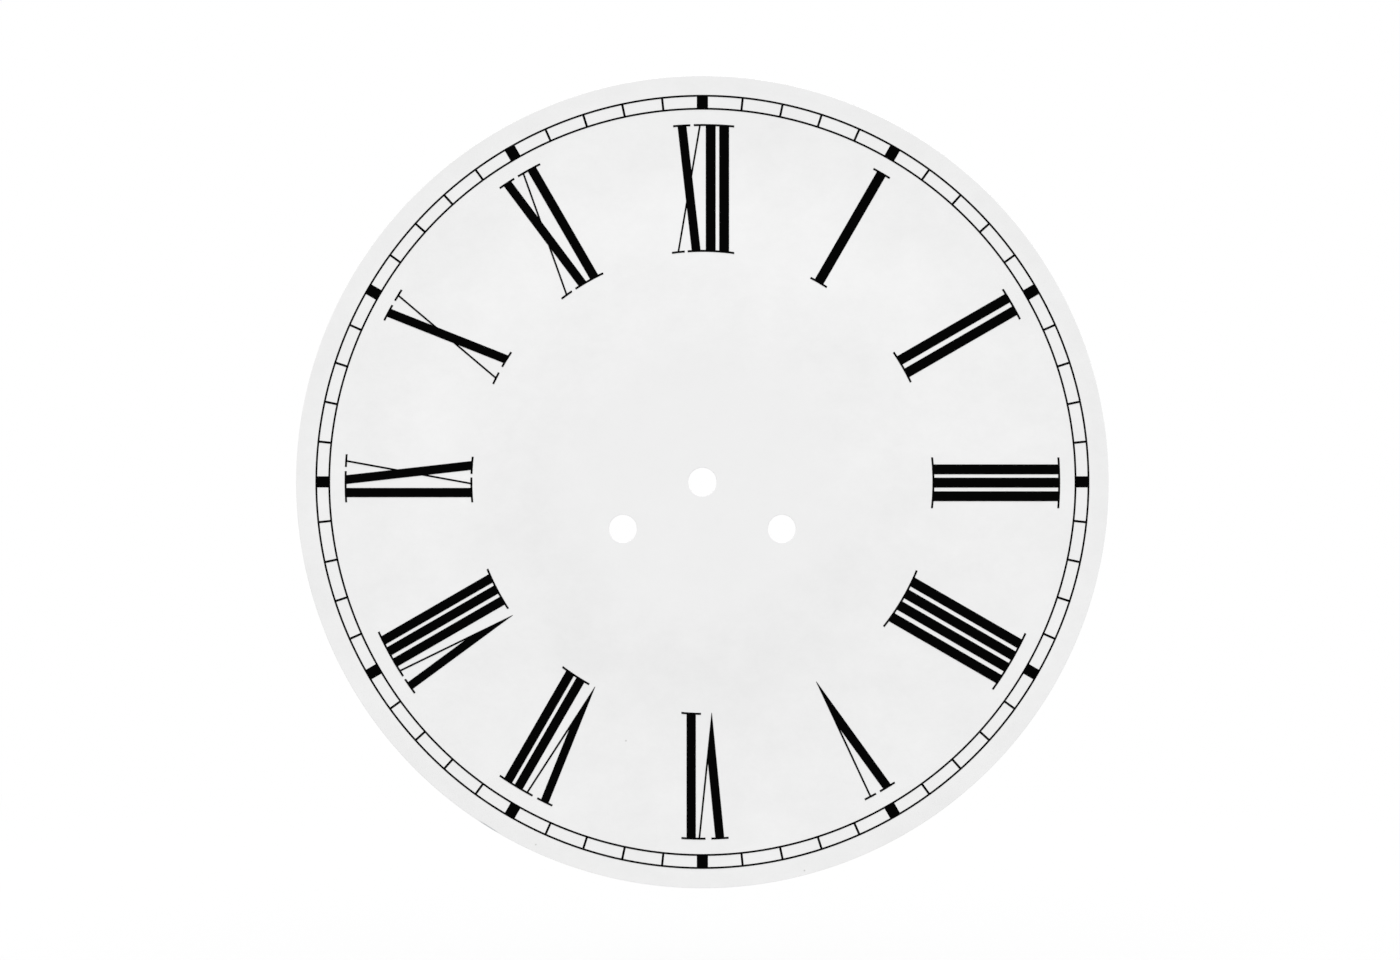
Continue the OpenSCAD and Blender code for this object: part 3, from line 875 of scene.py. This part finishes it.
def lathe(name, section, segments):
    # Turns a section of (radius, y) round the Y axis, with its UV map "turned". Ends on the axis are closed.
    bm = bmesh.new()
    uvLayer = bm.loops.layers.uv.new("turned")
    lengths = [0]
    for (r1, y1), (r2, y2) in zip(section, section[1:]):
        lengths.append(lengths[-1] + math.hypot(r2 - r1, y2 - y1))
    loops = []
    for radius, y in section:
        if radius < 1e-9:
            loops.append([bm.verts.new((0, y, 0))])
        else:
            loops.append(addLoop(bm, (0, 0), radius, y, segments))
    for k in range(len(loops) - 1):
        first, second = loops[k], loops[k + 1]
        for i in range(segments):
            a, b = i / segments, (i + 1) / segments
            j = (i + 1) % segments
            corners = []
            if len(first) > 1:
                corners += [(first[i], a, lengths[k]), (first[j], b, lengths[k])]
            else:
                corners += [(first[0], a, lengths[k])]
            if len(second) > 1:
                corners += [(second[j], b, lengths[k + 1]), (second[i], a, lengths[k + 1])]
            else:
                corners += [(second[0], a, lengths[k + 1])]
            face = bm.faces.new([corner[0] for corner in corners])
            for loop, corner in zip(face.loops, corners):
                loop[uvLayer].uv = corner[1:]
    bmesh.ops.recalc_face_normals(bm, faces=bm.faces)
    mesh = bpy.data.meshes.new(name)
    bm.to_mesh(mesh)
    bm.free()
    return mesh


def footSection():
    seat, end, tip, shank = foot["seat"], foot["collarEnd"], foot["tip"], foot["shank"]
    collar, nick, mark, steps = foot["collar"], foot["edgeBreak"], foot["centreMark"], foot["filletSteps"]
    fillet = [
        (shank + foot["fillet"] * (1 - math.sin(a)), end + foot["fillet"] * (1 - math.cos(a)))
        for a in [math.radians(90 * i / steps) for i in range(steps + 1)]
    ]
    return [
        (0, foot["rivetEnd"]), (rivetRadius, foot["rivetEnd"]), (rivetRadius, seat),
        (collar - nick, seat), (collar, seat + nick), (collar, end - nick), (collar - nick, end),
        *fillet,
        (shank, tip - foot["chamfer"]), (shank - foot["chamfer"], tip),
        (mark, tip), (0, tip - foot["centreMarkDepth"]),
    ]


def pinCutter():
    # Drill with a countersink at both sides of the shank, turned to lie along X
    depth, drill = foot["shank"], foot["pinHole"]
    wide = drill + foot["countersink"]
    half = [
        (0, -2 * depth), (wide + depth, -2 * depth), (wide, -depth),
        (drill, foot["countersinkDepth"] - depth),
    ]
    section = half + [(radius, -y) for radius, y in half[::-1]]
    mesh = lathe("pinCutter", section, foot["drillSegments"])
    mesh.transform(Matrix.Rotation(math.pi / 2, 4, "Z"))
    mesh.transform(Matrix.Translation((0, foot["tip"] - foot["pinHoleFromTip"], 0)))
    return newObject("pinCutter", mesh)


cutter = pinCutter()
cutter.hide_render = True
post = newObject("post", lathe("post", footSection(), foot["segments"]))
drilled = post.modifiers.new("crossHole", "BOOLEAN")
drilled.operation = "DIFFERENCE"
drilled.solver = "EXACT"
drilled.object = cutter
depsgraph = bpy.context.evaluated_depsgraph_get()
postMesh = bpy.data.meshes.new_from_object(post.evaluated_get(depsgraph), depsgraph=depsgraph)
bpy.data.objects.remove(post)
bpy.data.objects.remove(cutter)
bm = bmesh.new()
bm.from_mesh(postMesh)
bmesh.ops.remove_doubles(bm, verts=bm.verts, dist=foot["weld"])
bmesh.ops.dissolve_degenerate(bm, edges=bm.edges, dist=foot["weld"])
bm.to_mesh(postMesh)
bm.free()
postMesh.materials.clear()
postMesh.materials.append(brassFinish)
smooth(postMesh, foot["sharpAngle"])

for place in footPlaces:
    mesh = postMesh.copy()
    mesh.name = place["name"]
    mesh.transform(Matrix.Rotation(place["turn"], 4, "Y"))
    mesh.transform(Matrix.Translation((place["centre"][0], 0, place["centre"][1])))
    piece = newObject(place["name"], mesh)
    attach(piece, "root")
    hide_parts(place["node"])
bpy.data.meshes.remove(postMesh)
print("feet turned")


# Stage: a pale floor under the dial, just below the photograph's view, fading to white in a white surround
stage = {
    "floorColour": "#CFCFCF",
    "floorDrop": 0.17,  # this and the next three in metres
    "floorRadius": 1.0,
    "fadeStart": 0.3,
    "fadeEnd": 0.95,
    "floorSegments": 96,
    "ambient": 0.833,
    "keyStrength": 2.089,
    "keyHeight": 75,  # degrees above the level
    "keyRight": 17.4,  # degrees round to the right
    "keySoftness": 25,  # degrees across
    "backStrength": 0.5,
    "backHeight": 60,
    "backRight": 35,
    "backSoftness": 30,
}


def seenDirectly(tree):
    # 1 where the camera, a reflection or glass sees the surface, 0 where it only lights others
    rays = addNode(tree, "ShaderNodeLightPath").outputs
    two = addNode(tree, "ShaderNodeMath", {
        0: rays["Is Camera Ray"], 1: rays["Is Glossy Ray"],
    }, operation="ADD")
    return addNode(tree, "ShaderNodeMath", {
        0: two, 1: rays["Is Transmission Ray"],
    }, operation="ADD", use_clamp=True)


world = bpy.data.worlds.new("whiteSurround")
world.use_nodes = True
world.node_tree.nodes.clear()
ambient = addNode(world.node_tree, "ShaderNodeBackground", {
    "Color": (1, 1, 1, 1), "Strength": stage["ambient"],
})
white = addNode(world.node_tree, "ShaderNodeBackground", {"Color": (1, 1, 1, 1), "Strength": 1})
surround = addNode(world.node_tree, "ShaderNodeMixShader", {
    0: seenDirectly(world.node_tree), 1: ambient, 2: white,
})
addNode(world.node_tree, "ShaderNodeOutputWorld", {"Surface": surround})
bpy.context.scene.world = world


def paleFloor():
    material, tree = newMaterial("paleStudioFloor")
    place = addNode(tree, "ShaderNodeTexCoord").outputs["Object"]
    away = addNode(tree, "ShaderNodeVectorMath", {
        0: place, 1: (0, 0, -stage["floorDrop"]),
    }, operation="DISTANCE").outputs["Value"]
    fade = addNode(tree, "ShaderNodeMapRange", {
        "Value": away, "From Min": stage["fadeStart"], "From Max": stage["fadeEnd"],
    }, interpolation_type="SMOOTHSTEP")
    shown = addNode(tree, "ShaderNodeMath", {0: fade, 1: seenDirectly(tree)}, operation="MULTIPLY")
    matt = addNode(tree, "ShaderNodeBsdfDiffuse", {"Color": linear(stage["floorColour"])})
    glow = addNode(tree, "ShaderNodeEmission", {"Color": (1, 1, 1, 1), "Strength": 1})
    mixed = addNode(tree, "ShaderNodeMixShader", {0: shown, 1: matt, 2: glow})
    # Bounced light passes through, as the floor would otherwise brighten the dial's lower half
    isBounce = addNode(tree, "ShaderNodeLightPath").outputs["Is Diffuse Ray"]
    clear = addNode(tree, "ShaderNodeBsdfTransparent")
    surface = addNode(tree, "ShaderNodeMixShader", {0: isBounce, 1: mixed, 2: clear})
    addNode(tree, "ShaderNodeOutputMaterial", {"Surface": surface})
    return material


reach, level = stage["floorRadius"], -stage["floorDrop"]
count = stage["floorSegments"]
turns = [fullTurn * i / count for i in range(count)]
bm = bmesh.new()
bm.faces.new([bm.verts.new((reach * math.cos(a), reach * math.sin(a), level)) for a in turns])
floorMesh = bpy.data.meshes.new("floor")
bm.to_mesh(floorMesh)
bm.free()
floorMesh.materials.append(paleFloor())
floor = newObject("floor", floorMesh)


def addSun(name, strength, height, right, softness, fromBehind=False):
    lamp = bpy.data.lights.new(name, "SUN")
    lamp.energy = strength
    lamp.angle = math.radians(softness)
    sun = bpy.data.objects.new(name, lamp)
    # A sun shines along its own -Z, so it is tipped up from shining straight down
    side = -1 if fromBehind else 1
    sun.rotation_euler = (side * math.radians(90 - height), 0, side * math.radians(right))
    bpy.context.scene.collection.objects.link(sun)


addSun("keyLight", stage["keyStrength"], stage["keyHeight"], stage["keyRight"], stage["keySoftness"])
addSun(
    "backLight", stage["backStrength"], stage["backHeight"], stage["backRight"], stage["backSoftness"],
    fromBehind=True,
)
bpy.context.scene.view_settings.view_transform = "Standard"
print("stage set")
